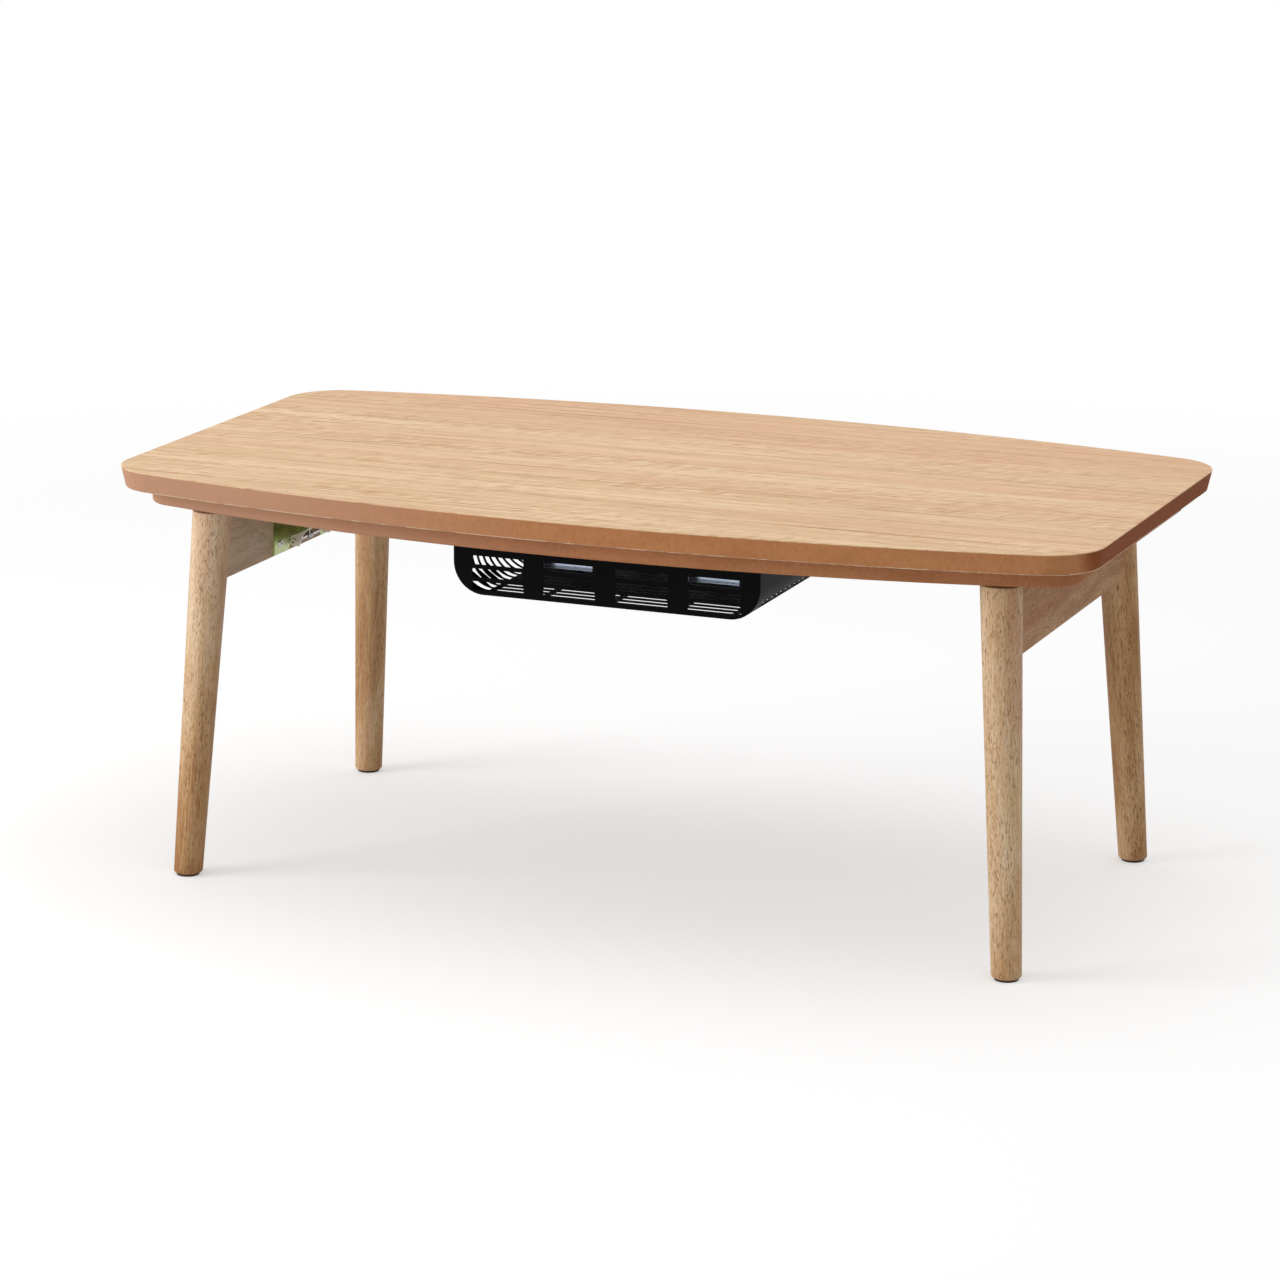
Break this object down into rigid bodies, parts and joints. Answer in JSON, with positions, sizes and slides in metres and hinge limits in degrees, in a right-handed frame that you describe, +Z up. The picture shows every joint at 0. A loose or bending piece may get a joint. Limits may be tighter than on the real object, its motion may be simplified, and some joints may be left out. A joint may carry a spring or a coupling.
{
  "type": "low heated table",
  "caption": "Low heated table: lift-off wooden top with bowed sides, lower board with a caged quartz heater, and splayed round-legged frames that fold flat on latched hinges.",
  "frame": {"origin": "on the floor under the middle of the table top", "axes": "+X along the table's length, towards the viewer's right when facing the front; +Y to the back; +Z up"},
  "size_m": [0.89, 0.4998, 0.365],
  "materials": {
    "face_print": "satin oak-look print with a clear coat",
    "stained_edge": "brown stained fibreboard",
    "backing": "plain matt backing sheet",
    "board_wood": "brown stained fibreboard",
    "felt": "dark pressed felt",
    "leg_wood": "clear-coated pale hardwood",
    "dowel_wood": "plain beech",
    "foot_plastic": "dark matt plastic",
    "green_zinc": "olive-yellow passivated zinc plate",
    "zinc": "bright zinc plate",
    "spring_wire": "drawn spring wire",
    "guard_black": "semi-gloss black enamel",
    "black_screws": "black plated",
    "galvanised": "galvanised sheet",
    "insulation": "pale glass-fibre mat",
    "reflector": "bright rolled aluminium",
    "quartz": "clear quartz",
    "coil_wire": "oxidised heating wire",
    "white_ceramic": "unglazed white steatite",
    "dark_plastic": "matt black moulded plastic",
    "lead_sleeve": "white silicone-covered glass sleeving",
    "inlet_brass": "nickelled brass"
  },
  "bodies": {
    "base": {"frame_board": "board_wood", "rest_pads": "felt", "heater_housing": "galvanised", "insulation_pad": "insulation", "heater_guard": "guard_black", "heater_screws": "black_screws", "guard_screws": "black_screws", "heater_reflector": "reflector", "quartz_tube": "quartz", "heating_coil": "coil_wire", "tube_end_caps": "white_ceramic", "tube_brackets": "reflector", "tube_clip": "galvanised", "control_plate": "galvanised", "terminal_block": "white_ceramic", "thermostat": "dark_plastic", "thermal_fuse": "galvanised", "heater_leads": "lead_sleeve", "inlet_shell": "dark_plastic", "inlet_pins": "inlet_brass", "left_hinge_plate": "green_zinc", "left_hinge_screws": "zinc", "left_pivot_rod": "zinc", "left_strike_rod": "zinc", "right_hinge_plate": "green_zinc", "right_hinge_screws": "zinc", "right_pivot_rod": "zinc", "right_strike_rod": "zinc"},
    "top_panel": {"top_face_sheet": "face_print", "top_core": "stained_edge", "top_backing_sheet": "backing"},
    "left_legs": {"left_front_leg": "leg_wood", "left_rear_leg": "leg_wood", "left_rail": "leg_wood", "left_dowels": "dowel_wood", "left_foot_pads": "foot_plastic", "left_rail_plate": "green_zinc", "left_rail_screws": "zinc", "left_latch_rod": "zinc"},
    "left_latch": {"left_latch": "zinc", "left_latch_spring": "spring_wire"},
    "right_legs": {"right_front_leg": "leg_wood", "right_rear_leg": "leg_wood", "right_rail": "leg_wood", "right_dowels": "dowel_wood", "right_foot_pads": "foot_plastic", "right_rail_plate": "green_zinc", "right_rail_screws": "zinc", "right_latch_rod": "zinc"},
    "right_latch": {"right_latch": "zinc", "right_latch_spring": "spring_wire"}
  },
  "joints": [
    {"name": "top_lift", "type": "slide", "parent": "base", "child": "top_panel", "axis": [0, 0, 1], "range_m": [0, 0.12]},
    {"name": "left_fold", "type": "hinge", "parent": "base", "child": "left_legs", "pos_m": [-0.331, 0, 0.31], "axis": [0, -1, 0], "range_deg": [0, 93]},
    {"name": "left_latch_pull", "type": "hinge", "parent": "left_legs", "child": "left_latch", "pos_m": [-0.347, 0, 0.273], "axis": [0, 1, 0], "range_deg": [0, 5], "stiffness_Nm_per_rad": 0.1, "springref_deg": -22.92},
    {"name": "right_fold", "type": "hinge", "parent": "base", "child": "right_legs", "pos_m": [0.331, 0, 0.31], "axis": [0, 1, 0], "range_deg": [0, 93]},
    {"name": "right_latch_pull", "type": "hinge", "parent": "right_legs", "child": "right_latch", "pos_m": [0.347, 0, 0.273], "axis": [0, -1, 0], "range_deg": [0, 5], "stiffness_Nm_per_rad": 0.1, "springref_deg": -22.92}
  ]
}
